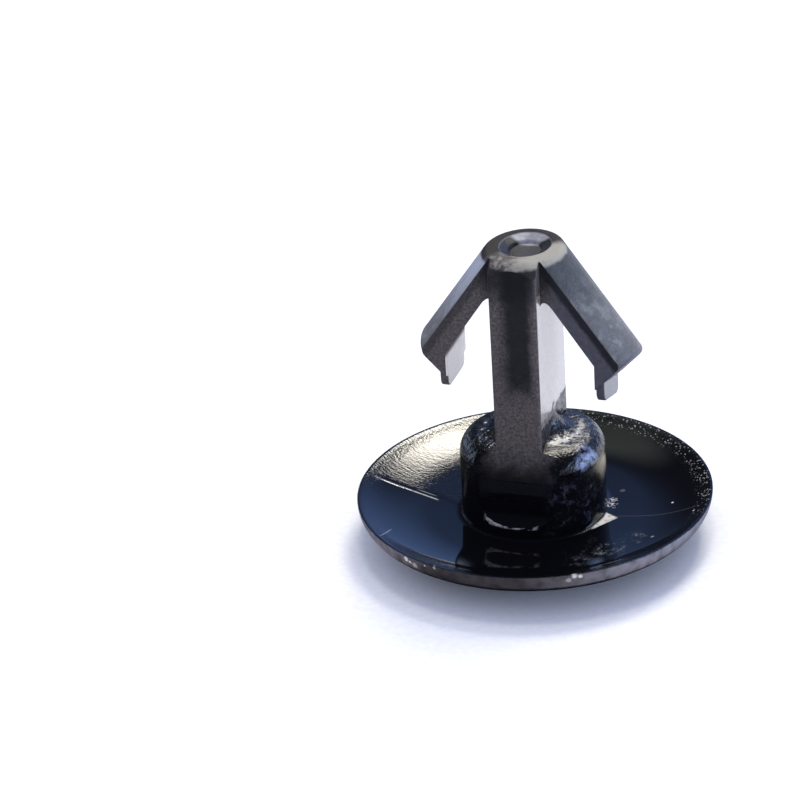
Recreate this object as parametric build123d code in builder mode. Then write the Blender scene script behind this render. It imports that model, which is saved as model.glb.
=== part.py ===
from build123d import *
from math import cos, radians, sin, sqrt, tan
import os

# Push-in retainer for a vehicle's door weatherstrip, moulded in one piece of black nylon.
# Millimetres. +Z runs up the stem, X through the two barbs, Y through their depth.
# The part stands on the lowest point of its domed head, which is the origin.

# Head: a shallow dome outside, a dish with a turned-up lip inside
head_radius = 10.0
rim_height = 2.8
rim_edge_radius = 1.4
rim_land = 0.12
floor_thickness = 1.6
dish_floor_radius = 140.0
dish_lip_width = 4.0

# Round collar that fills the panel's hole, with a flat on its front and its back
collar_radius = 4.08
collar_shoulder_round = 1.2
collar_height = 6.55
flat_distance = 3.53
flat_foot_height = 2.4
flat_runout_radius = 0.8
flat_top_height = 5.05

# Post, and the concave flare that carries it on the collar
post_half_width = 1.335
post_half_depth = 2.73
post_corner_round = 0.22
flare_radius = 1.4

# Oval tip with its moulded dimple
tip_height = 17.65
tip_half_width = 2.09
tip_half_depth = 2.5
tip_edge_round = 0.3
dimple_half_width = 1.36
dimple_half_depth = 1.76
dimple_depth = 0.75
dimple_floor_inset = 0.4

# Barbs: they slope out and down from the tip and can flex inwards
barb_slope = 54.4
barb_half_depth = 1.86
window_drop = 1.85
barb_inner_slope = 55.2
barb_drop = 6.97
barb_end_slope = 46.0
barb_corner_round = 0.35
barb_end_round = 0.42
window_round = 0.38

# Thin foot under each barb. The right barb and its foot are cut at a slant.
foot_inner_x = 4.19
foot_thickness = 0.46
foot_half_depth = 1.55
foot_length = 1.23
foot_corner_round = 0.5
left_end_slant = 0.0
right_end_slant = 16.0

os.makedirs("parts", exist_ok=True)

# The dome is one sphere that runs into the rim's rounded edge
edge_centre_x = head_radius - rim_edge_radius
dome_radius = (edge_centre_x**2 + rim_height**2 - rim_edge_radius**2) / (
    2 * (rim_height - rim_edge_radius)
)
dome_share = dome_radius / (dome_radius - rim_edge_radius)
dome_end = (edge_centre_x * dome_share, dome_radius - (dome_radius - rim_height) * dome_share)
dish_floor_end_x = head_radius - dish_lip_width
dish_floor_rise = dish_floor_radius - sqrt(dish_floor_radius**2 - dish_floor_end_x**2)

with BuildPart() as head:
    with BuildSketch(Plane.XZ):
        with BuildLine():
            dome = TangentArc((0, 0), dome_end, tangent=(1, 0))
            TangentArc(dome @ 1, (head_radius, rim_height), tangent=dome % 1)
            Line((head_radius, rim_height), (head_radius - rim_land, rim_height))
            dish_floor = TangentArc(
                (0, floor_thickness),
                (dish_floor_end_x, floor_thickness + dish_floor_rise),
                tangent=(1, 0),
            )
            TangentArc(
                dish_floor @ 1,
                (head_radius - rim_land, rim_height),
                tangent=dish_floor % 1,
            )
            Line((0, floor_thickness), (0, 0))
        make_face()
    revolve(axis=Axis.Z)

# Collar with its rounded shoulder and, above, a concave flare that meets the post's sides
with BuildPart() as collar:
    with BuildSketch(Plane.XZ):
        with BuildLine():
            flare_curve = TangentArc(
                (post_half_width, collar_height + flare_radius),
                (post_half_width + flare_radius, collar_height),
                tangent=(0, -1),
            )
            shoulder = TangentArc(
                (collar_radius, collar_height - collar_shoulder_round),
                (collar_radius - collar_shoulder_round, collar_height),
                tangent=(0, 1),
            )
            Line(flare_curve @ 1, shoulder @ 1)
            Polyline(
                shoulder @ 0,
                (collar_radius, floor_thickness / 2),
                (0, floor_thickness / 2),
                (0, collar_height + flare_radius),
                flare_curve @ 0,
            )
        make_face()
    revolve(axis=Axis.Z)

# A flat's cutter. The flat runs out to the round in a concave curve at its foot,
# and above its crisp top edge the cut leans in to the post's face.
with BuildPart() as flat_cutter:
    with BuildSketch(Plane.YZ):
        with BuildLine():
            runout = TangentArc(
                (-flat_distance, flat_foot_height + flat_runout_radius),
                (-flat_distance - flat_runout_radius, flat_foot_height),
                tangent=(0, -1),
            )
            Polyline(
                runout @ 1,
                (-flat_distance - flat_runout_radius, collar_height + flare_radius),
                (-post_half_depth, collar_height + flare_radius),
                (-post_half_depth, collar_height),
                (-flat_distance, flat_top_height),
                runout @ 0,
            )
        make_face()
    extrude(amount=collar_radius, both=True)

# The oval tip widens downwards at the barbs' slope, and this trims the post's corners
run_per_drop = 1 / tan(radians(barb_slope))
window_top = tip_height - window_drop
barb_end_height = tip_height - barb_drop
foot_height = barb_end_height - foot_length
post_foot_height = flat_foot_height + flat_runout_radius
stem_length = tip_height - post_foot_height
with BuildPart() as crown:
    with BuildSketch(Plane.XY.offset(tip_height)):
        Ellipse(tip_half_width, tip_half_depth)
    with BuildSketch(Plane.XY.offset(post_foot_height)):
        Ellipse(
            tip_half_width + stem_length * run_per_drop,
            tip_half_depth + stem_length * run_per_drop,
        )
    loft()

with BuildPart() as post:
    with BuildSketch(Plane.XY.offset(post_foot_height)):
        RectangleRounded(2 * post_half_width, 2 * post_half_depth, post_corner_round)
    extrude(amount=stem_length)
    add(crown.part, mode=Mode.INTERSECT)


def make_barb(end_slant):
    """The right-hand barb with its foot; the left-hand one is its mirror image."""
    foot_outer_x = foot_inner_x + foot_thickness
    lowest = foot_height - 3 * barb_half_depth * tan(radians(end_slant)) - foot_thickness
    reach = tip_half_width + (tip_height - lowest) * run_per_drop
    knee_height = window_top - (foot_inner_x - post_half_width) * tan(
        radians(barb_inner_slope)
    )

    with BuildPart() as foot:
        foot_drop = 2 * foot_half_depth * tan(radians(end_slant))
        with BuildSketch(Plane.YZ.offset(foot_inner_x)):
            with BuildLine() as foot_line:
                FilletPolyline(
                    (-foot_half_depth, knee_height),
                    (-foot_half_depth, foot_height),
                    (foot_half_depth, foot_height - foot_drop),
                    (foot_half_depth, knee_height),
                    radius=foot_corner_round,
                )
                Line(foot_line.line @ 1, foot_line.line @ 0)
            make_face()
        extrude(amount=foot_thickness)

    with BuildPart() as barb:
        # Front view: the window's sloping edge, open towards the barb's end
        with BuildSketch(Plane.XZ) as front_outline:
            with BuildLine():
                Polyline(
                    (0, tip_height),
                    (reach, tip_height),
                    (reach, lowest),
                    (foot_inner_x, lowest),
                    (foot_inner_x, knee_height),
                    (post_half_width, window_top),
                    (post_half_width, window_top - 4 * window_round),
                    (0, window_top - 4 * window_round),
                    close=True,
                )
            make_face()
            window_corner = (post_half_width, window_top)
            fillet(front_outline.vertices().sort_by_distance(window_corner)[0], window_round)
        extrude(amount=barb_half_depth, both=True)

        # Outer skin: the tip's oval carried down the slope
        with BuildSketch(Plane.XY.offset(tip_height)):
            Ellipse(tip_half_width, tip_half_depth)
        slope = (cos(radians(barb_slope)), 0, -sin(radians(barb_slope)))
        slope_length = (tip_height - lowest) / sin(radians(barb_slope))
        extrude(amount=slope_length, dir=slope, mode=Mode.INTERSECT)

        # Sides and rounded end, as seen along the end face
        end_plane = Plane(
            origin=(foot_outer_x, 0, barb_end_height),
            x_dir=(0, 1, 0),
            z_dir=(cos(radians(barb_end_slope)), 0, sin(radians(barb_end_slope))),
        )
        end_drop = 2 * barb_half_depth * tan(radians(end_slant)) * cos(radians(barb_end_slope))
        with BuildSketch(end_plane):
            with BuildLine() as side_line:
                FilletPolyline(
                    (-barb_half_depth, tip_height),
                    (-barb_half_depth, 0),
                    (barb_half_depth, -end_drop),
                    (barb_half_depth, tip_height),
                    radius=barb_corner_round,
                )
                Line(side_line.line @ 1, side_line.line @ 0)
            make_face()
        extrude(amount=2 * reach, both=True, mode=Mode.INTERSECT)

        # The end runs over into the outer skin in a small round
        skin = barb.faces().filter_by(GeomType.EXTRUSION).sort_by(Axis.X)[-1]
        fillet(skin.edges().sort_by(Axis.Z)[:3], barb_end_round)
        add(foot.part)
    return barb.part


with BuildPart() as retainer:
    add(head.part)
    add(collar.part)
    add(flat_cutter.part, mode=Mode.SUBTRACT)
    add(mirror(flat_cutter.part, about=Plane.XZ, mode=Mode.PRIVATE), mode=Mode.SUBTRACT)
    add(post.part)
    add(make_barb(right_end_slant))
    add(mirror(make_barb(left_end_slant), about=Plane.YZ, mode=Mode.PRIVATE))

    # The tip's rounded rim, and the dimple moulded into it
    tip_rim = retainer.edges().group_by(Axis.Z)[-1]
    fillet(tip_rim, tip_edge_round)
    with BuildSketch(Plane.XY.offset(tip_height)):
        Ellipse(dimple_half_width, dimple_half_depth)
    with BuildSketch(Plane.XY.offset(tip_height - dimple_depth)):
        Ellipse(dimple_half_width - dimple_floor_inset, dimple_half_depth - dimple_floor_inset)
    loft(mode=Mode.SUBTRACT)

retainer.part.label = "retainer"
export_step(retainer.part, "parts/retainer.step")
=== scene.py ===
import bpy
from math import cos, pi, radians, sin, tan

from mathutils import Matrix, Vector


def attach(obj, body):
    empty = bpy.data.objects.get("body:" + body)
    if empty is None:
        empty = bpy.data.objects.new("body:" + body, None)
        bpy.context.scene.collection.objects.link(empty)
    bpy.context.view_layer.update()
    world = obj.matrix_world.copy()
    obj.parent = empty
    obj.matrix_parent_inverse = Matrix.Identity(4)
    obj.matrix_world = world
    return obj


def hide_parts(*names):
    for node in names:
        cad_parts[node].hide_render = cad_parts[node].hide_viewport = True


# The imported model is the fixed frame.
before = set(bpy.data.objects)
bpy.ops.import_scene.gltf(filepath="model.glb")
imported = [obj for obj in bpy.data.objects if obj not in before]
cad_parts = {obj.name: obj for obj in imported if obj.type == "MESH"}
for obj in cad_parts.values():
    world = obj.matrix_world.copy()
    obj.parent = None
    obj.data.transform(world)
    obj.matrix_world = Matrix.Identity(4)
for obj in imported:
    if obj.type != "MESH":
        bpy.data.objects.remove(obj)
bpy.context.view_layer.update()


# Head: the round plate that covers the hole, of black nylon like the whole moulding. It is
# domed outside and dished inside, with a turned-up lip. All forms are drawn in millimetres;
# a round one has its profile drawn point by point and arc by arc, then spun on the stem.
def put_pen(name, place):
    bpy.ops.object.select_all(action="DESELECT")
    bpy.ops.mesh.primitive_plane_add(size=1)
    bpy.context.object.name = name
    bpy.ops.object.mode_set(mode="EDIT")
    bpy.ops.mesh.select_mode(type="VERT")
    bpy.ops.mesh.select_all(action="SELECT")
    bpy.ops.mesh.merge(type="CENTER")
    bpy.ops.transform.translate(value=place)


def draw_line(dx, dy, dz):
    bpy.ops.mesh.extrude_region_move(TRANSFORM_OT_translate={"value": (dx, dy, dz)})


def draw_arc(centre, axis, degrees, steps):
    bpy.ops.mesh.spin(steps=steps, angle=radians(degrees), center=centre, axis=axis)


def close_mesh():
    bpy.ops.mesh.select_all(action="SELECT")
    bpy.ops.mesh.remove_doubles(threshold=0.0005)
    bpy.ops.mesh.normals_make_consistent(inside=False)
    bpy.ops.object.mode_set(mode="OBJECT")
    return bpy.context.object


def spin_round():
    bpy.ops.mesh.select_all(action="SELECT")
    bpy.ops.mesh.spin(steps=240, angle=2 * pi, center=(0, 0, 0), axis=(0, 0, 1))
    return close_mesh()


front_axis = (0, 1, 0)
head_radius = 10
rim_height, rim_edge_radius, rim_land = 2.8, 1.4, 0.12
dome_radius, dome_sweep, rim_edge_sweep = 28.5143, 18.4922, 71.5078
lip_centre, lip_sweep = (5.616, 0, 10.6808), -25.9599
dish_floor_height, dish_radius, dish_sweep = 1.6, 140, -2.4563

put_pen("head", (0, 0, 0))
draw_arc((0, 0, dome_radius), front_axis, dome_sweep, steps=16)
draw_arc((head_radius - rim_edge_radius, 0, rim_height), front_axis, rim_edge_sweep, steps=10)
draw_line(-rim_land, 0, 0)
draw_arc(lip_centre, front_axis, lip_sweep, steps=16)
draw_arc((0, 0, dish_floor_height + dish_radius), front_axis, dish_sweep, steps=4)
head = spin_round()


# Collar: the round body of nylon that fills the panel's hole. It has a small round where
# it meets the dish, a rounded shoulder, a concave flare up to the post, and a flat moulded
# on its front and its back. Each flat leans in to the post above its crisp top edge.
def combine(body, tool, operation):
    bpy.ops.object.select_all(action="DESELECT")
    bpy.context.view_layer.objects.active = body
    body.select_set(True)
    joint = body.modifiers.new(operation.lower(), "BOOLEAN")
    joint.operation = operation
    joint.solver = "EXACT"
    joint.object = tool
    bpy.ops.object.modifier_apply(modifier=joint.name)
    bpy.data.objects.remove(tool)


def fill_and_pull(dx, dy, dz):
    bpy.ops.mesh.select_all(action="SELECT")
    bpy.ops.mesh.remove_doubles(threshold=0.0005)
    bpy.ops.mesh.edge_face_add()
    bpy.ops.mesh.extrude_region_move(TRANSFORM_OT_translate={"value": (dx, dy, dz)})
    return close_mesh()


collar_radius, collar_height = 4.08, 6.55
buried_foot, foot_round, foot_round_height = 0.9, 0.15, 1.805
shoulder_round, flare_radius = 1.2, 1.4
post_half_width, post_half_depth = 1.335, 2.73

foot_radius = collar_radius + foot_round
shoulder_x, shoulder_z = collar_radius - shoulder_round, collar_height - shoulder_round
flare_x = post_half_width + flare_radius
put_pen("collar", (0, 0, buried_foot))
draw_line(foot_radius, 0, 0)
draw_line(0, 0, foot_round_height - foot_round - buried_foot)
draw_arc((foot_radius, 0, foot_round_height), front_axis, -90, steps=5)
draw_line(0, 0, shoulder_z - foot_round_height)
draw_arc((shoulder_x, 0, shoulder_z), front_axis, 90, steps=12)
draw_line(flare_x - shoulder_x, 0, 0)
draw_arc((flare_x, 0, collar_height + flare_radius), front_axis, -90, steps=12)
draw_line(-post_half_width, 0, 0)
collar = spin_round()

flat_distance, flat_foot, flat_top = 3.53, 3.2, 5.05
runout_radius, lean_in = 0.8, 0.79
cutter_reach, cutter_top = 4.5, 8.4
for side in (-1, 1):
    put_pen("flat_cutter", (-cutter_reach, side * flat_distance, flat_foot))
    runout_centre = (-cutter_reach, side * (flat_distance + runout_radius), flat_foot)
    draw_arc(runout_centre, (-1, 0, 0), side * 90, steps=8)
    draw_line(0, 0, cutter_top - flat_foot + runout_radius)
    draw_line(0, -side * (runout_radius + lean_in), 0)
    draw_line(0, 0, collar_height - cutter_top)
    draw_line(0, side * lean_in, flat_top - collar_height)
    draw_line(0, 0, flat_foot - flat_top)
    combine(collar, fill_and_pull(2 * cutter_reach, 0, 0), "DIFFERENCE")


# Post: the flat bar of the stem, with small rounded corners. Near the tip it is trimmed by
# an oval cone, which the barbs' slope continues.
def pick_edges(body, wanted):
    bpy.ops.object.mode_set(mode="EDIT")
    bpy.ops.mesh.select_mode(type="EDGE")
    bpy.ops.object.mode_set(mode="OBJECT")
    for part in (body.data.vertices, body.data.polygons):
        part.foreach_set("select", [False] * len(part))
    for edge in body.data.edges:
        a, b = (body.data.vertices[i].co for i in edge.vertices)
        edge.select = wanted(a, b)
    bpy.ops.object.mode_set(mode="EDIT")


def put_oval(name, half_width, half_depth, place):
    bpy.ops.object.select_all(action="DESELECT")
    bpy.ops.mesh.primitive_circle_add(vertices=160, radius=1, fill_type="NGON", location=place)
    bpy.context.object.name = name
    bpy.ops.object.mode_set(mode="EDIT")
    bpy.ops.mesh.select_all(action="SELECT")
    bpy.ops.transform.resize(value=(half_width, half_depth, 1))
    return [half_width, half_depth]


def next_oval(oval, drop, grow):
    bpy.ops.mesh.extrude_region_move(TRANSFORM_OT_translate={"value": (0, 0, -drop)})
    bpy.ops.transform.resize(value=((oval[0] + grow) / oval[0], (oval[1] + grow) / oval[1], 1))
    return [oval[0] + grow, oval[1] + grow]


def close_ovals():
    bpy.ops.object.mode_set(mode="OBJECT")
    bpy.ops.object.transform_apply(location=True)
    bpy.ops.object.mode_set(mode="EDIT")
    return close_mesh()


tip_height, tip_half_width, tip_half_depth = 17.65, 2.09, 2.5
spare_height = 0.25
post_top = tip_height + spare_height
bpy.ops.object.select_all(action="DESELECT")
bpy.ops.mesh.primitive_cube_add(
    size=1,
    location=(0, 0, (flat_foot + post_top) / 2),
    scale=(2 * post_half_width, 2 * post_half_depth, post_top - flat_foot),
)
bpy.ops.object.transform_apply(location=True, scale=True)
post = bpy.context.object
post.name = "post"
pick_edges(post, lambda a, b: abs(a.z - b.z) > 1)
bpy.ops.mesh.bevel(offset=0.22, segments=5)
bpy.ops.object.mode_set(mode="OBJECT")

run = 1 / tan(radians(54.4))
crown_length = 15
narrower = spare_height * run
oval = put_oval("crown", tip_half_width - narrower, tip_half_depth - narrower, (0, 0, post_top))
next_oval(oval, crown_length, crown_length * run)
combine(post, close_ovals(), "INTERSECT")

# Barbs: two sprung arms of the same nylon, moulded on the tip, that slope out and down and
# snap behind the panel. Each is the tip's oval drawn down the slope, cut to depth, with a
# rounded end, a window towards the post and a thin foot. The right one ends at a slant.
barb_half_depth, barb_end_round, barb_end_height = 1.86, 0.42, 10.68
barb_end_slope = 46
end_round_steps, end_round_degrees = 7, 12
end_half_depth = 2.4
foot_outer_x, foot_thickness, foot_depth = 4.65, 0.46, 3.1
foot_middle_height, foot_height = 10.7, 2.5
window_outer_x, window_width, window_round = 4.2, 2.9, 1.2
knee_height, window_rise, window_foot = 11.69, 4.173, 7


def make_barb(side, slant):
    above_tip = 0.35
    place = (-side * above_tip * run, 0, tip_height + above_tip)
    put_oval("barb", tip_half_width, tip_half_depth, place)
    bpy.ops.mesh.extrude_region_move(TRANSFORM_OT_translate={"value": (side, 0, -1)})
    bpy.ops.object.mode_set(mode="OBJECT")
    bpy.ops.object.transform_apply(location=True)
    barb = bpy.context.object

    # The oval runs down to the end's plane, and rounds over there.
    end = radians(barb_end_slope)
    normal = Vector((side * sin(end), -tan(radians(slant)) * cos(end), -cos(end))).normalized()
    last_full = Vector((side * foot_outer_x, -barb_half_depth, barb_end_height))
    last_full = last_full - barb_end_round * normal
    slope = Vector((side * run, 0, -1))

    def down_slope(place):
        return place + slope * ((last_full - place).dot(normal) / slope.dot(normal))

    for corner in barb.data.vertices:
        if corner.select:
            top = corner.co - Vector((side, 0, -1))
            corner.co = down_slope(top)
    centre = down_slope(Vector((0, 0, tip_height)))
    bpy.ops.object.mode_set(mode="EDIT")
    for turn in range(1, end_round_steps + 1):
        before, after = (radians(end_round_degrees * n) for n in (turn - 1, turn))
        step = normal * barb_end_round * (sin(after) - sin(before))
        inset = barb_end_round * (cos(before) - cos(after))
        size = end_half_depth - barb_end_round * (1 - cos(before))
        centre = centre + step
        bpy.ops.mesh.extrude_region_move(TRANSFORM_OT_translate={"value": step})
        bpy.ops.transform.resize(value=[1 - inset / size] * 3, center_override=centre)
    for face in (-1, 1):
        bpy.ops.mesh.select_all(action="SELECT")
        bpy.ops.mesh.bisect(
            plane_co=(0, face * barb_half_depth, 0),
            plane_no=(0, face, 0),
            use_fill=True,
            clear_outer=True,
        )
    barb = close_mesh()

    # The window's cutter has its top corner rounded before it is pulled through.
    put_pen("window_cutter", (side * window_outer_x, -3, window_foot))
    draw_line(0, 0, knee_height - window_foot)
    draw_line(-side * window_width, 0, window_rise)
    draw_line(0, 0, window_foot - knee_height - window_rise)
    draw_line(side * window_width, 0, 0)
    bpy.ops.object.mode_set(mode="OBJECT")
    cutter = bpy.context.object
    for corner in cutter.data.vertices:
        corner.select = corner.co.z > 15
    bpy.ops.object.mode_set(mode="EDIT")
    bpy.ops.mesh.bevel(offset=window_round, segments=8, affect="VERTICES")
    combine(barb, fill_and_pull(0, 6, 0), "DIFFERENCE")

    # The foot is a thin plate with well rounded lower corners and softened edges.
    bpy.ops.object.select_all(action="DESELECT")
    bpy.ops.mesh.primitive_cube_add(
        size=1,
        location=(side * (foot_outer_x - foot_thickness / 2), 0, foot_middle_height),
        scale=(foot_thickness, foot_depth, foot_height),
    )
    bpy.ops.object.transform_apply(location=True, scale=True)
    foot = bpy.context.object
    foot.name = "foot"
    for corner in foot.data.vertices:
        if corner.co.z < 10 and corner.co.y > 0:
            corner.co.z -= foot_depth * tan(radians(slant))
    pick_edges(foot, lambda a, b: max(a.z, b.z) < 10 and abs(a.y - b.y) < 0.1)
    bpy.ops.mesh.bevel(offset=0.5, segments=7)
    pick_edges(foot, lambda a, b: abs(a.x - b.x) < 0.01 and min(a.z, b.z) < 11.9)
    bpy.ops.mesh.bevel(offset=0.07, segments=3)
    bpy.ops.object.mode_set(mode="OBJECT")
    combine(barb, foot, "UNION")
    return barb


right_barb = make_barb(1, slant=16)
left_barb = make_barb(-1, slant=0)

# The moulding: one shot of nylon, so its forms are united into one body. The tip's rim is
# rounded, and the oval dimple is sunk into the tip in steps of drop and growth.
moulding = head
moulding.name = "retainer_moulding"
for form in (collar, post, right_barb, left_barb):
    combine(moulding, form, "UNION")

rim_round, rim_round_steps, rim_round_degrees = 0.3, 6, 46
skirt_drop = 19
oval = put_oval("tip_rim", 1.93, 2.34, (0, 0, tip_height))
for turn in range(1, rim_round_steps + 1):
    before, after = (radians(rim_round_degrees / rim_round_steps * n) for n in (turn - 1, turn))
    drop, grow = rim_round * (cos(before) - cos(after)), rim_round * (sin(after) - sin(before))
    oval = next_oval(oval, drop, grow)
next_oval(oval, skirt_drop, skirt_drop / tan(radians(rim_round_degrees)))
combine(moulding, close_ovals(), "INTERSECT")

lip_steps = ((0.05, -0.06), (0.03, -0.05), (0.06, -0.06))
wall_and_floor_steps = ((0.16, -0.4), (0.08, -0.08), (0.15, -0.04))
oval = put_oval("dimple", 1.54, 1.84, (0, 0.3, tip_height + 0.05))
for drop, grow in lip_steps + wall_and_floor_steps:
    oval = next_oval(oval, drop, grow)
combine(moulding, close_ovals(), "DIFFERENCE")

bpy.ops.object.select_all(action="DESELECT")
moulding.select_set(True)
bpy.context.view_layer.objects.active = moulding
bpy.ops.object.mode_set(mode="EDIT")
close_mesh()
millimetre = 0.001
moulding.scale = (millimetre, millimetre, millimetre)
bpy.ops.object.transform_apply(scale=True)
bpy.ops.object.shade_smooth_by_angle(angle=radians(32))
even = moulding.modifiers.new("even_normals", "WEIGHTED_NORMAL")
even.keep_sharp = True
even.weight = 80
bpy.ops.object.modifier_apply(modifier=even.name)
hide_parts("retainer")
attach(moulding, "root")

# The moulding's black nylon: the mould is polished for the head and the collar, and spark-
# eroded for the post, barbs and tip, which come out slate grey. Every mark is placed in
# millimetres from the part's origin.
nylon = bpy.data.materials.new("black_nylon")
nylon.use_nodes = True
tree = nylon.node_tree
surface = tree.nodes["Principled BSDF"]
surface.inputs["IOR"].default_value = 1.54
surface.inputs["Coat Roughness"].default_value = 0.12
surface.inputs["Coat IOR"].default_value = 1.7


def add_node(kind, inputs, **settings):
    node = tree.nodes.new(kind)
    for key, value in settings.items():
        setattr(node, key, value)
    for key, value in inputs.items():
        if isinstance(value, bpy.types.NodeSocket):
            tree.links.new(value, node.inputs[key])
        else:
            node.inputs[key].default_value = value
    return node


def calc(operation, *values):
    node = add_node("ShaderNodeMath", dict(enumerate(values)), operation=operation)
    return node.outputs[0]


def calc_all(operation, values):
    result = values[0]
    for value in values[1:]:
        result = calc(operation, result, value)
    return result


def times(*values):
    return calc_all("MULTIPLY", values)


def plus(*values):
    return calc_all("ADD", values)


def most(*values):
    return calc_all("MAXIMUM", values)


def fade(value, zero_at, one_at):
    """0 at zero_at, 1 at one_at, and a soft step between them."""
    places = (zero_at, one_at, 0, 1) if one_at > zero_at else (one_at, zero_at, 1, 0)
    names = ("From Min", "From Max", "To Min", "To Max")
    node = add_node(
        "ShaderNodeMapRange",
        {"Value": value, **dict(zip(names, places))},
        interpolation_type="SMOOTHSTEP",
    )
    return node.outputs["Result"]


def within(value, low, high, soft):
    return times(fade(value, low - soft, low + soft), fade(value, high + soft, high - soft))


def specks(scale, detail=2.0, stretch=(1, 1, 1), twist=0.0, roughness=0.5):
    place = add_node(
        "ShaderNodeMapping", {"Vector": millimetres, "Rotation": (0, 0, twist), "Scale": stretch}
    )
    node = add_node(
        "ShaderNodeTexNoise",
        {"Vector": place.outputs[0], "Scale": scale, "Detail": detail, "Roughness": roughness},
    )
    return node.outputs["Fac"]


def blend(amount, under, over):
    """One colour over another."""
    node = add_node("ShaderNodeMix", {"Factor": amount}, data_type="RGBA")
    for socket, value in ((node.inputs[6], under), (node.inputs[7], over)):
        if isinstance(value, bpy.types.NodeSocket):
            tree.links.new(value, socket)
        else:
            socket.default_value = (*value, 1)
    return node.outputs[2]


def level(amount, under, over):
    """One number over another."""
    node = add_node("ShaderNodeMix", {"Factor": amount, "A": under, "B": over})
    return node.outputs[0]


coordinates = add_node("ShaderNodeTexCoord", {})
millimetres = add_node(
    "ShaderNodeMapping",
    {"Vector": coordinates.outputs["Object"], "Scale": [1 / millimetre] * 3},
).outputs[0]
x, y, z = add_node("ShaderNodeSeparateXYZ", {0: millimetres}).outputs
facing = add_node("ShaderNodeNewGeometry", {}).outputs["Normal"]
facing_x, facing_y, facing_z = add_node("ShaderNodeSeparateXYZ", {0: facing}).outputs
radius = calc("SQRT", plus(times(x, x), times(y, y)))
side_x, side_y = calc("ABSOLUTE", x), calc("ABSOLUTE", y)
wobble = calc("SUBTRACT", specks(1.6, 4, roughness=0.6), 0.5)


def ragged(value, size):
    """The value pushed about, so that what it bounds has no straight edge."""
    return plus(value, times(wobble, size))


def slanting(along_x, along_y, shift):
    """0 on a line that slants across the dish, and above 0 on one side of it."""
    return plus(calc("MULTIPLY_ADD", x, along_x, shift), times(y, along_y))


def stroke(offset, half_width, core=0.01):
    """A thin line where the offset is 0."""
    return fade(calc("ABSOLUTE", offset), half_width, core)


def dab(place, size, soft=0.5):
    """A ragged round mark at a place in millimetres."""
    away = add_node("ShaderNodeVectorMath", {0: millimetres, 1: place}, operation="DISTANCE")
    return fade(ragged(away.outputs["Value"], size * 1.6), size, size * soft)


def beads(scale, size):
    """Small round grains, sharper than noise."""
    node = add_node("ShaderNodeTexVoronoi", {"Vector": millimetres, "Scale": scale})
    return fade(node.outputs["Distance"], size, size * 0.5)


# Where the surface is: each mask is 1 there and 0 elsewhere
in_dish = times(fade(z, 2.95, 2.9), fade(facing_z, 0.1, 0.2), fade(radius, 9.95, 9.85))
on_rim = times(
    fade(radius, 9.62, 9.8), fade(z, 3, 2.9), fade(z, 1.2, 1.7), fade(facing_z, 0.6, 0.3)
)
lean_depth = plus(side_y, calc("MULTIPLY_ADD", z, 0.5267, -6.19))
on_lean = times(
    fade(calc("ABSOLUTE", lean_depth), 0.05, 0.03),
    fade(z, 5.03, 5.07),
    fade(z, 6.62, 6.5),
    fade(ragged(side_x, 2.2), 2.3, 1.2),
)
facing_side = fade(calc("ABSOLUTE", facing_x), 0.93, 0.98)
by_flare = fade(ragged(z, 1.6), 8.3, 8.0)
on_post = times(
    fade(side_x, 1.37, 1.345),
    fade(z, 6.45, 6.55),
    calc("SUBTRACT", 1, times(facing_side, by_flare)),
)
on_crown = fade(z, 7.9, 8.0)
eroded = most(on_lean, on_post, on_crown)
# The sides of the post and of the feet are glossy and coated, and get a painted highlight below
lit_post_sides = times(
    facing_side,
    within(side_x, 1.3, 1.37, 0.02),
    calc("SUBTRACT", 1, by_flare),
    fade(z, 15.9, 15.6),
)
lit_feet_sides = times(
    facing_side,
    fade(side_x, 4.1, 4.15),
    fade(z, 11.6, 11.3),
    level(fade(x, 4.4, 4.5), 1, 0.15),
)
glossy_lit_sides = plus(lit_post_sides, lit_feet_sides)
on_barb = times(on_crown, fade(side_x, 1.37, 1.42), fade(z, 17.62, 17.4))
on_skin = times(on_barb, fade(facing_z, 0.35, 0.45))
tip_ring = times(fade(ragged(z, 0.3), 17.25, 17.45), fade(facing_z, 0.1, 0.6))
in_dimple = times(
    fade(z, 16.7, 16.8),
    fade(z, 17.64, 17.55),
    fade(side_x, 1.62, 1.5),
    within(y, -1.7, 2.25, 0.05),
    fade(facing_z, 0.1, 0.2),
)
lit_x = times(calc("ADD", x, 0.15), 0.52)
lit_y = times(calc("SUBTRACT", y, 2.05), 0.92)
lit_round = ragged(plus(times(lit_x, lit_x), times(lit_y, lit_y)), 0.4)
dimple_shade = times(in_dimple, fade(lit_round, 0.45, 0.95))

# The parting line runs across the dish: two steps on the left, a hairline on the right
from_bow_middle = calc("ADD", x, 7.6)
bow = times(from_bow_middle, from_bow_middle, 0.075)
above_line = plus(y, bow, calc("MULTIPLY_ADD", x, 0.1, 0.82))
line_left = times(
    stroke(above_line, 0.09, 0.02),
    within(x, -9.5, -5.6, 0.15),
    level(fade(x, -9.2, -6.8), 0.35, 1),
    calc("MULTIPLY_ADD", wobble, 1.8, 0.85),
)
line_left_2 = times(
    stroke(calc("SUBTRACT", above_line, 0.32), 0.06),
    within(x, -6.9, -5.9, 0.25),
)
line_right = times(stroke(slanting(-0.16, 1, 1.05), 0.06), within(x, 4.6, 9.3, 0.3))
parting_line = times(in_dish, plus(line_left, times(line_left_2, 0.5), times(line_right, 0.08)))

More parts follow.
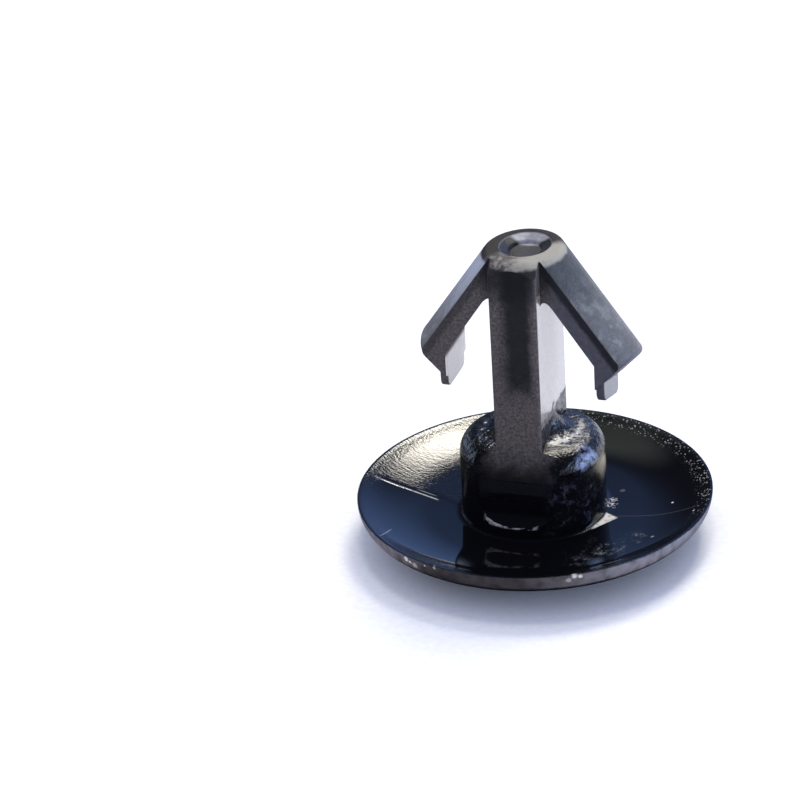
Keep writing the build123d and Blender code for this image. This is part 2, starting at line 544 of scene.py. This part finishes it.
# Moulded grain and mottle, as heights in millimetres
ripple_place = times(in_dish, fade(x, -1.5, -4.0), fade(above_line, 0.1, 0.8))
ripples = times(ripple_place, specks(3.2, 3, (1, 2.6, 1), 0.6), 0.024)
lip_place = times(in_dish, fade(radius, 8.7, 9.6))
lip_grain = times(lip_place, specks(6.5, 2), 0.02)
fine_grain = times(eroded, specks(8, 3), 0.03)
skin_mottle = times(on_barb, specks(3.0, 5, roughness=0.7), 0.06)
collar_top = times(fade(z, 5.2, 5.6), fade(z, 8.3, 7.6), calc("SUBTRACT", 1, eroded))
collar_mottle = times(collar_top, specks(1.7, 4, roughness=0.6), 0.2)
collar_side = times(fade(z, 1.8, 2.2), fade(z, 5.5, 5.0), within(radius, 3.9, 4.2, 0.1))
side_speckle = times(collar_side, specks(5, 4, roughness=0.7), 0.02)
height = plus(
    ripples,
    lip_grain,
    fine_grain,
    skin_mottle,
    collar_mottle,
    side_speckle,
    times(parting_line, 0.04),
)
rounded = add_node("ShaderNodeBevel", {"Radius": 0.1 * millimetre}, samples=2)
relief = add_node(
    "ShaderNodeBump",
    {
        "Height": height,
        "Distance": millimetre,
        "Strength": 0.8,
        "Normal": rounded.outputs[0],
    },
)
tree.links.new(relief.outputs[0], surface.inputs["Normal"])

# Beads on the lip, scuffs and a scratch in the dish, and a bright wedge of painted glint at the
# collar's foot
lip_beads = times(
    in_dish,
    fade(radius, 8.9, 9.5),
    beads(6, 0.36),
    fade(specks(1.5, 2), 0.38, 0.52),
    fade(y, -1.5, 0.8),
)
scuff_zone = most(
    dab((5.2, -4.3, 1.7), 1.7, 0.3),
    dab((6.2, -2.7, 1.7), 1.0, 0.3),
    times(dab((4.2, -5.9, 1.8), 1.1, 0.3), 0.7),
)
scuff_grain = fade(specks(1.5, 6, (1.6, 1, 1), 0.5, 0.72), 0.48, 0.68)
scuffs = times(in_dish, scuff_zone, scuff_grain)
scratch = times(in_dish, stroke(slanting(1, -0.05, 6.55), 0.06), within(y, -6.8, -5.3, 0.3))
foot_glint = times(
    in_dish,
    fade(radius, 4.1, 4.2),
    fade(y, -2.2, -1.9),
    fade(x, 3.72, 3.95),
    level(fade(specks(4.5, 3), 0.36, 0.5), 0.6, 1),
    fade(slanting(1.72, -1.23, -8.944), 0.15, -0.05),
    fade(slanting(0.38, 0.62, -1.602), 0.04, -0.06),
)

# Specks of dust, nicks in the rim, and a painted glint along the foot of the flat
speckled_spot = times(
    in_dish,
    most(dab((4.2, 0.95, 1.7), 0.42, 0.8), dab((4.05, 1.4, 1.7), 0.4, 0.8)),
    fade(specks(7.5, 2), 0.48, 0.58),
)
dust = most(
    times(speckled_spot, 0.9),
    dab((-2.75, 0.23, 6.55), 0.1),
    dab((-2.3, -0.76, 6.6), 0.08),
    dab((7.62, 1.38, 1.98), 0.1),
    dab((9.16, -0.1, 2.45), 0.1),
    times(dab((7.43, -2.65, 2.0), 0.16), 0.4),
    times(dab((4.42, 2.67, 1.7), 0.18), 0.12),
)
nicks = most(
    dab((-4.75, -8.75, 2.6), 0.22, 0.3),
    dab((-4.5, -8.85, 2.5), 0.16, 0.3),
    times(dab((-4.2, -9.0, 2.4), 0.24), 0.5),
    dab((-3.5, -9.3, 2.65), 0.1),
    times(dab((-2.9, -9.5, 2.7), 0.12), 0.5),
    dab((4.68, -8.85, 2.7), 0.24, 0.3),
    dab((4.95, -8.7, 2.65), 0.16, 0.4),
    times(dab((4.4, -9.0, 2.5), 0.2), 0.4),
)
from_flat_middle = calc("ABSOLUTE", calc("ADD", x, 0.2))
# Painted glint along the U-shaped edge where the front flat runs out
flat_edge_glint = times(
    within(radius, 4.02, 4.1, 0.02),
    fade(y, -3.3, -3.45),
    within(z, 2.38, 3.15, 0.06),
    within(x, -1.8, 1.2, 0.15),
    fade(plus(radius, times(from_flat_middle, 0.035)), 4.04, 4.1),
    fade(specks(2.6, 3), 0.42, 0.6),
)

# A painted highlight on the collar's right shoulder: a curled cream crescent where the back
# lamp's own reflection also falls
swirl_x, swirl_y = calc("SUBTRACT", x, 1.75), calc("SUBTRACT", y, 0.25)
swirl_size = calc("SQRT", plus(times(swirl_x, swirl_x), times(swirl_y, swirl_y, 0.36)))
shoulder_crescent_highlight = times(
    collar_top,
    within(ragged(swirl_size, 0.7), 0.78, 1.12, 0.12),
    fade(z, 7.2, 6.9),
    fade(plus(swirl_x, times(swirl_y, -0.3)), 0.1, 0.4),
    fade(specks(3.3, 4), 0.36, 0.46),
)

# Colour: deep black where polished, slate where eroded, with painted shade near the collar and
# painted cool light on the right
polished_black = (0.003, 0.003, 0.004)
slate = blend(
    fade(specks(7, 5, roughness=0.75), 0.3, 0.7), (0.036, 0.031, 0.028), (0.15, 0.127, 0.115)
)
# Painted shade: the slate turns near black close to the collar
slate = blend(fade(ragged(z, 1.2), 5.1, 6.9), (0.006, 0.005, 0.005), slate)
# Painted cool light: a bluish slate on the right side
right_lit_slate = blend(specks(4, 4), (0.04, 0.04, 0.05), (0.1, 0.1, 0.12))
slate = blend(fade(x, 1.5, 2.5), slate, right_lit_slate)
colour = blend(times(eroded, fade(ragged(z, 1.5), 4.7, 5.3)), polished_black, slate)

# A painted dark reflection in a band up the front of the post, and painted shade at the barbs'
# roots under the tip
# Painted dark reflection: a near-black band up the front of the post
dark_reflection_band = times(
    on_post,
    fade(ragged(z, 2.5), 8.9, 11.0),
    fade(ragged(x, 0.9), -1.15, -0.1),
    fade(ragged(x, 0.5), 1.2, 0.7),
    fade(facing_y, -0.6, -0.8),
)
dark_reflection_mottle = blend(
    specks(2.6, 5, (0.6, 1, 1.5), 0, 0.75), (0.0, 0.0, 0.001), (0.018, 0.018, 0.024)
)
colour = blend(times(dark_reflection_band, 0.93), colour, dark_reflection_mottle)
barb_root_black = (0.006, 0.006, 0.009)
# Painted shade under the tip's ring, where the barbs leave the post
under_tip_shade = times(
    on_crown,
    fade(side_x, 2.4, 1.6),
    fade(ragged(z, 2), 14.6, 16.6),
    fade(facing_y, -0.3, -0.6),
)
colour = blend(times(under_tip_shade, 0.8), colour, barb_root_black)

# The barbs' outer skin: mottled, with a painted highlight near the tip on the left and painted
# shade there on the right
skin_tone = blend(
    specks(2.4, 6, roughness=0.75), (0.038, 0.038, 0.035), (0.18, 0.172, 0.16)
)
cloudy = times(fade(specks(1.3, 5, roughness=0.7), 0.5, 0.64), 0.5)
skin_tone = blend(cloudy, skin_tone, (0.27, 0.262, 0.245))
# Painted highlight on the left barb's skin near the tip
left_skin_highlight = times(fade(x, -1, -1.5), fade(ragged(z, 3), 12.8, 17.2))
skin_tone = blend(left_skin_highlight, skin_tone, (0.32, 0.335, 0.375))
# Painted shade on the right barb's skin near the tip
right_skin_shade = times(fade(x, 1, 1.5), fade(ragged(z, 4), 13.8, 17))
skin_tone = blend(right_skin_shade, skin_tone, (0.045, 0.046, 0.043))
colour = blend(on_skin, colour, skin_tone)
edge_line = ragged(plus(z, times(side_x, 1.397), -19.6), 0.5)
barb_edge = times(
    on_barb,
    fade(facing_y, -0.55, -0.75),
    fade(edge_line, -0.95, -0.5),
    level(fade(x, -0.1, 0.1), 0.45, 0.85),
)
colour = blend(barb_edge, colour, barb_root_black)

# The tip: painted light, pale cream at its front and right, and painted shade behind; the dimple
# painted pale at its back as a highlight, with painted shade over the rest
ring_tone = blend(
    fade(specks(2.8, 5, roughness=0.7), 0.4, 0.6), (0.07, 0.06, 0.052), (0.24, 0.22, 0.185)
)
ring_tone = blend(fade(ragged(x, 1.5), -0.3, 1.0), ring_tone, (0.33, 0.31, 0.245))
# Painted light: the ring's lit front keeps its pale tone, and painted shade makes the rest near
# black
ring_lit_front = times(
    fade(ragged(calc("MULTIPLY_ADD", x, -0.75, y), 0.8), 0.1, -1.0),
    fade(ragged(x, 0.8), -1.95, -1.0),
    fade(y, 1.6, 0.6),
)
ring_tone = blend(ring_lit_front, (0.008, 0.006, 0.006), ring_tone)
colour = blend(times(tip_ring, calc("SUBTRACT", 1, in_dimple)), colour, ring_tone)
# Painted light in the dimple: pale where its back wall is lit, with painted shade over the rest
dimple_lit_tone = blend(specks(3, 3), (0.14, 0.14, 0.145), (0.5, 0.5, 0.51))
colour = blend(in_dimple, colour, dimple_lit_tone)
colour = blend(dimple_shade, colour, (0.008, 0.006, 0.008))

# Painted light: a painted reflection on the rim's edge, painted highlights on the sides of the
# post and the feet, and a painted blue highlight on the shoulder
# Painted reflection on the rim's edge: dark at the front, pale towards the left and right ends
rim_reflection_tone = blend(fade(x, 1, 9), (0.06, 0.05, 0.047), (0.27, 0.25, 0.27))
rim_reflection_tone = blend(fade(x, -3, -7), rim_reflection_tone, (0.27, 0.24, 0.25))
# Painted highlight: pale colour on the sides of the post and the feet
colour = blend(times(glossy_lit_sides, 0.58), colour, (0.62, 0.54, 0.44))
# Painted highlight: a blue patch of light on the shoulder's right front
shoulder_blue_highlight = times(
    collar_top, dab((3.6, -1.7, 5.8), 1.1, 0.2), fade(specks(2.6, 4), 0.35, 0.6), 0.8
)
colour = blend(shoulder_blue_highlight, colour, (0.3, 0.36, 0.52))
# Painted highlight: the feet's sides nearly white, and the right foot's outer side only faintly
colour = blend(times(lit_feet_sides, 0.95), colour, (0.92, 0.87, 0.78))
# Noise breaks up the painted rim reflection
rim_reflection_mottle = fade(specks(1.6, 4, (1, 1, 0.8)), 0.0, 0.7)
colour = blend(times(on_rim, rim_reflection_mottle), colour, rim_reflection_tone)
colour = blend(times(scuffs, 0.95), colour, (0.14, 0.14, 0.145))
# Painted reflection: bluish dabs on the collar's right side
right_side_reflection_dabs = times(
    collar_side, fade(x, 1.2, 2.6), fade(specks(1.8, 6, roughness=0.75), 0.5, 0.68)
)
colour = blend(right_side_reflection_dabs, colour, (0.035, 0.037, 0.05))
# Pale marks (parting line, beads, scratch, dust, nicks) and painted highlights (the glint at the
# flat's foot, the crescent on the shoulder)
pale_marks_and_highlights = most(
    times(parting_line, 0.8),
    times(lip_beads, 0.55),
    times(scratch, 0.35),
    dust,
    nicks,
    times(flat_edge_glint, 0.75),
    times(shoulder_crescent_highlight, 0.8),
)
colour = blend(pale_marks_and_highlights, colour, (0.66, 0.62, 0.55))
# Painted glint: the bright wedge beside the collar's foot
colour = blend(foot_glint, colour, (0.9, 0.84, 0.7))
tree.links.new(colour, surface.inputs["Base Color"])

# Roughness: each place in turn over the polished and the eroded finish
roughness = level(eroded, 0.05, 0.42)
for place, value in (
    (glossy_lit_sides, 0.14),
    (dark_reflection_band, 0.7),
    (on_rim, 0.3),
    (collar_top, 0.2),
    (collar_side, 0.12),
    (times(lip_place, 0.6), 0.2),
    (tip_ring, 0.8),
    (in_dimple, 0.4),
    (scuffs, 0.4),
):
    roughness = level(place, roughness, value)
tree.links.new(roughness, surface.inputs["Roughness"])
tree.links.new(times(glossy_lit_sides, 0.9), surface.inputs["Coat Weight"])
moulding.data.materials.clear()
moulding.data.materials.append(nylon)

# Floor: a sheet of white card far larger than the picture. In the polished nylon it shows
# dark, but for the parts behind and to the right, as the photograph's surroundings do.
bpy.ops.object.select_all(action="DESELECT")
bpy.ops.mesh.primitive_plane_add(size=3)
floor = bpy.context.object
floor.name = "floor"
card = bpy.data.materials.new("white_card")
card.use_nodes = True
tree = card.node_tree
surface = tree.nodes["Principled BSDF"]
surface.inputs["Roughness"].default_value = 0.9
place = add_node("ShaderNodeTexCoord", {}).outputs["Object"]
east, north, up = add_node("ShaderNodeSeparateXYZ", {0: place}).outputs
behind = times(fade(north, 0.012, 0.015), fade(east, -0.001, 0.0015))
bright = most(behind, fade(east, 0.022, 0.032))
reflected = add_node("ShaderNodeLightPath", {}).outputs["Is Glossy Ray"]
dark = times(reflected, calc("SUBTRACT", 1, bright))
fibres = add_node("ShaderNodeTexNoise", {"Vector": place, "Scale": 2500, "Detail": 3})
fibres = fade(fibres.outputs["Fac"], 0.3, 0.7)
paper = blend(fibres, (0.93, 0.925, 0.89), (0.99, 0.98, 0.93))
tree.links.new(blend(dark, paper, (0.03, 0.035, 0.05)), surface.inputs["Base Color"])
floor.data.materials.append(card)


# Light: a soft lamp above and behind, a small one overhead that isn't reflected, a cool one
# low on the right, and an even bluish room. In reflections the room is dark, with a window
# high behind, a blue glow below it and a bright horizon on the left.
lamp_distance = 0.6


def hang_lamp(name, direction, width, depth, power, colour):
    place = Vector(direction).normalized() * lamp_distance
    bpy.ops.object.light_add(type="AREA", location=place)
    lamp = bpy.context.object
    lamp.name = name
    lamp.data.shape = "RECTANGLE"
    lamp.data.size, lamp.data.size_y = width, depth
    lamp.data.energy = power
    lamp.data.color = colour
    lamp.rotation_euler = place.to_track_quat("Z", "Y").to_euler()
    return lamp


hang_lamp("back_lamp", (0.08, 0.5, 0.86), 0.18, 0.19, 1.6, (1, 0.94, 0.8))
top_lamp = hang_lamp("top_lamp", (-0.02, 0.03, 1), 0.1, 0.1, 0.5, (1, 0.94, 0.85))
top_lamp.visible_glossy = False
hang_lamp("right_lamp", (0.93, 0.32, 0.12), 0.25, 0.14, 1.6, (0.42, 0.6, 1))

world = bpy.data.worlds.new("room")
bpy.context.scene.world = world
world.use_nodes = True
tree = world.node_tree
direction = add_node("ShaderNodeTexCoord", {}).outputs["Generated"]
east, north, up = add_node("ShaderNodeSeparateXYZ", {0: direction}).outputs
blue_glow = times(fade(east, -0.5, -0.12), fade(north, 0.5, 0.9), fade(up, 0.75, 0.3))
high_left = times(fade(up, 0.58, 0.76), fade(east, -0.64, -0.42), fade(north, 0.12, 0.25))
left_horizon = times(fade(east, -0.55, -0.8), fade(up, 0.3, 0.1), fade(north, 0, 0.25))
window = times(
    within(east, -0.12, 0.26, 0.05),
    fade(north, 0.2, 0.3),
    fade(up, 0.62, 0.72),
    fade(up, 0.97, 0.93),
)
room = blend(blue_glow, (0.02, 0.025, 0.04), (0.22, 0.38, 0.85))
room = blend(high_left, room, (0.4, 0.46, 0.42))
room = blend(left_horizon, room, (1.6, 1.9, 2.6))
room = blend(window, room, (10.5, 10, 9.1))
reflected = add_node("ShaderNodeLightPath", {}).outputs["Is Glossy Ray"]
room = blend(reflected, (0.67, 0.73, 1.02), room)
tree.links.new(room, tree.nodes["Background"].inputs["Color"])
bpy.context.scene.view_settings.view_transform = "Standard"

# Camera: above the part's right front, as the photograph was taken. The lens is long, and
# the part stands right of the middle of the picture.
bpy.ops.object.camera_add(
    location=(0.037965, -0.126129, 0.074565),
    rotation=(1.1067942, 0.0608449, 0.3167188),
)
camera = bpy.context.object
camera.name = "camera"
camera.data.sensor_width = 36
camera.data.lens = 119.57
camera.data.clip_start = 0.01
bpy.context.scene.camera = camera
